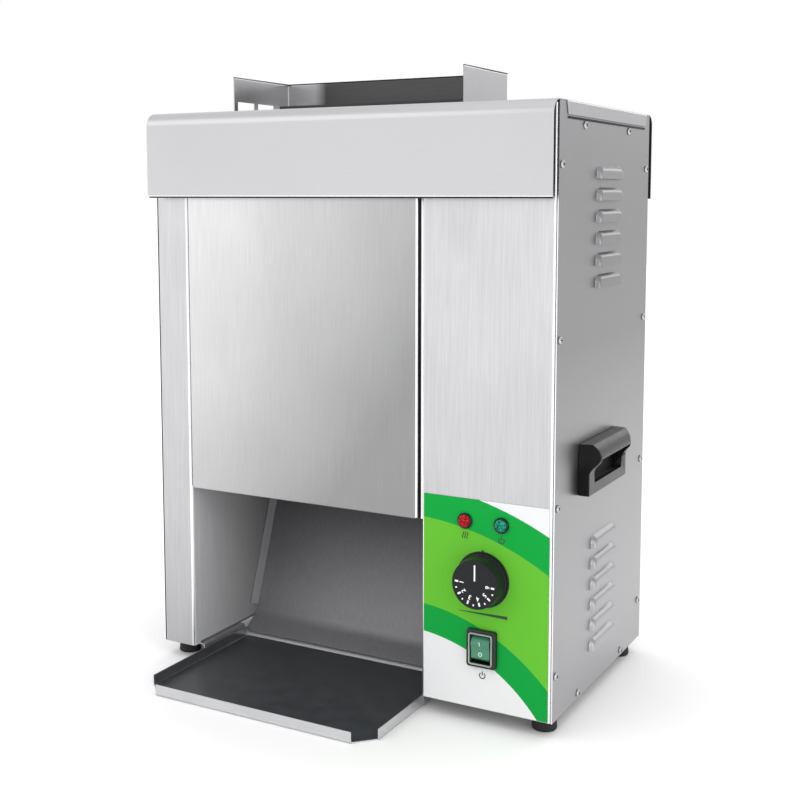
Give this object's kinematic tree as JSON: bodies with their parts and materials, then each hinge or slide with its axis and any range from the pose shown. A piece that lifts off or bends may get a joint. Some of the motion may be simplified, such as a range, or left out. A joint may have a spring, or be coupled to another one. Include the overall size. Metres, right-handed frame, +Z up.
{
  "type": "vertical contact toaster",
  "caption": "Upright conveyor bun toaster: a hood with feed slots and a guard, two belts against a hot platen, a chute and a landing tray, with a dial, a rocker switch and lamps beside.",
  "frame": {"origin": "bottom centre of the whole toaster with its tray in, on the table that the feet and the tray stand on", "axes": "+X to the right seen from the front, +Y from the front to the back, +Z up"},
  "size_m": [0.5746, 0.4324, 0.7255],
  "materials": {
    "brushed_stainless": "brushed, vertical grain",
    "hood_stainless": "satin, along the width",
    "side_stainless": "satin",
    "inner_stainless": "mill finish",
    "tray_stainless": "satin",
    "roller_steel": "turned",
    "belt_stainless": "wire, mill finish",
    "element_sheath": "oxidised",
    "gear_steel": "machined, oiled",
    "cast_aluminium": "cast, heat darkened",
    "sintered_bronze": "sintered",
    "lamp_bezel": "plated",
    "motor_paint": "black enamel",
    "release_film": "non-stick coated glass cloth",
    "foot_rubber": "matt",
    "handle_plastic": "fine texture",
    "knob_plastic": "satin",
    "switch_plastic": "smooth",
    "rocker_plastic": "smooth, translucent",
    "phenolic": "moulded",
    "gland_nylon": "moulded",
    "fascia_film": "printed film",
    "red_lens": "clear tinted",
    "green_lens": "clear tinted"
  },
  "bodies": {
    "root": {"base_pan": "inner_stainless", "bun_chute": "inner_stainless", "cable_gland": "gland_nylon", "control_fascia": "fascia_film", "foot_front_left": "foot_rubber", "foot_front_right": "foot_rubber", "foot_rear_left": "foot_rubber", "foot_rear_right": "foot_rubber", "front_belt": "belt_stainless", "front_cover": "brushed_stainless", "front_lower_bush_left": "sintered_bronze", "front_lower_bush_right": "sintered_bronze", "front_upper_bush_left": "sintered_bronze", "front_upper_bush_right": "sintered_bronze", "gear_motor": "motor_paint", "green_lamp_body": "lamp_bezel", "green_lamp_lens": "green_lens", "heating_element": "element_sheath", "knob_bezel": "knob_plastic", "left_front_pillar": "brushed_stainless", "left_handle": "handle_plastic", "left_inner_wall": "inner_stainless", "left_side_panel": "side_stainless", "motor_bracket": "inner_stainless", "platen_bracket_left": "inner_stainless", "platen_bracket_right": "inner_stainless", "platen_cap": "cast_aluminium", "platen_front": "cast_aluminium", "platen_rear": "cast_aluminium", "rear_belt": "belt_stainless", "rear_lower_bush_left": "sintered_bronze", "rear_lower_bush_right": "sintered_bronze", "rear_panel": "side_stainless", "rear_upper_bush_left": "sintered_bronze", "rear_upper_bush_right": "sintered_bronze", "red_lamp_body": "lamp_bezel", "red_lamp_lens": "red_lens", "release_sheet": "release_film", "right_front_panel": "brushed_stainless", "right_handle": "handle_plastic", "right_inner_wall": "inner_stainless", "right_side_panel": "side_stainless", "switch_housing": "switch_plastic", "terminal_block": "phenolic", "thermostat": "phenolic", "top_hood": "hood_stainless", "tray_guide_left": "inner_stainless", "tray_guide_right": "inner_stainless"},
    "dial": {"temperature_dial": "knob_plastic"},
    "rocker": {"switch_rocker": "rocker_plastic"},
    "front_lower": {"front_lower_roller": "roller_steel", "front_drive_gear": "gear_steel"},
    "rear_lower": {"rear_lower_roller": "roller_steel", "rear_drive_gear": "gear_steel"},
    "front_upper": {"front_upper_roller": "roller_steel"},
    "rear_upper": {"rear_upper_roller": "roller_steel"},
    "pinion": {"motor_pinion": "gear_steel"},
    "idler": {"idler_gear": "gear_steel"},
    "guard": {"bun_guard": "hood_stainless"},
    "tray": {"landing_tray": "tray_stainless"}
  },
  "joints": [
    {"name": "dial_turn", "type": "hinge", "parent": "root", "child": "dial", "pos_m": [0.18, -0.10835, 0.164], "axis": [0, 1, 0], "range_deg": [0, 255]},
    {"name": "rocker_press", "type": "hinge", "parent": "root", "child": "rocker", "pos_m": [0.18, -0.10185, 0.0875], "axis": [-1, 0, 0], "range_deg": [0, 16]},
    {"name": "front_lower_spin", "type": "hinge", "parent": "root", "child": "front_lower", "pos_m": [-0.05425, -0.01655, 0.318], "axis": [1, 0, 0], "continuous": true},
    {"name": "rear_lower_spin", "type": "hinge", "parent": "root", "child": "rear_lower", "pos_m": [-0.05425, 0.12225, 0.318], "axis": [1, 0, 0], "continuous": true},
    {"name": "front_upper_spin", "type": "hinge", "parent": "root", "child": "front_upper", "pos_m": [-0.05425, -0.01655, 0.618], "axis": [1, 0, 0], "continuous": true},
    {"name": "rear_upper_spin", "type": "hinge", "parent": "root", "child": "rear_upper", "pos_m": [-0.05425, 0.12225, 0.618], "axis": [1, 0, 0], "continuous": true},
    {"name": "pinion_spin", "type": "hinge", "parent": "root", "child": "pinion", "pos_m": [0.1127, 0.03626, 0.318], "axis": [1, 0, 0], "continuous": true},
    {"name": "idler_spin", "type": "hinge", "parent": "root", "child": "idler", "pos_m": [0.1127, 0.068, 0.29237], "axis": [1, 0, 0], "continuous": true},
    {"name": "guard_lift", "type": "slide", "parent": "root", "child": "guard", "axis": [0, 0, 1], "range_m": [0, 0.06]},
    {"name": "tray_pull", "type": "slide", "parent": "root", "child": "tray", "axis": [0, -1, 0], "range_m": [0, 0.18]}
  ],
  "couplings": [
    {"joint": "pinion_spin", "follows": "front_lower_spin", "ratio": -2.1429},
    {"joint": "idler_spin", "follows": "front_lower_spin", "ratio": 1.5},
    {"joint": "rear_lower_spin", "follows": "front_lower_spin", "ratio": -1},
    {"joint": "front_upper_spin", "follows": "front_lower_spin", "ratio": 1},
    {"joint": "rear_upper_spin", "follows": "front_lower_spin", "ratio": -1}
  ]
}
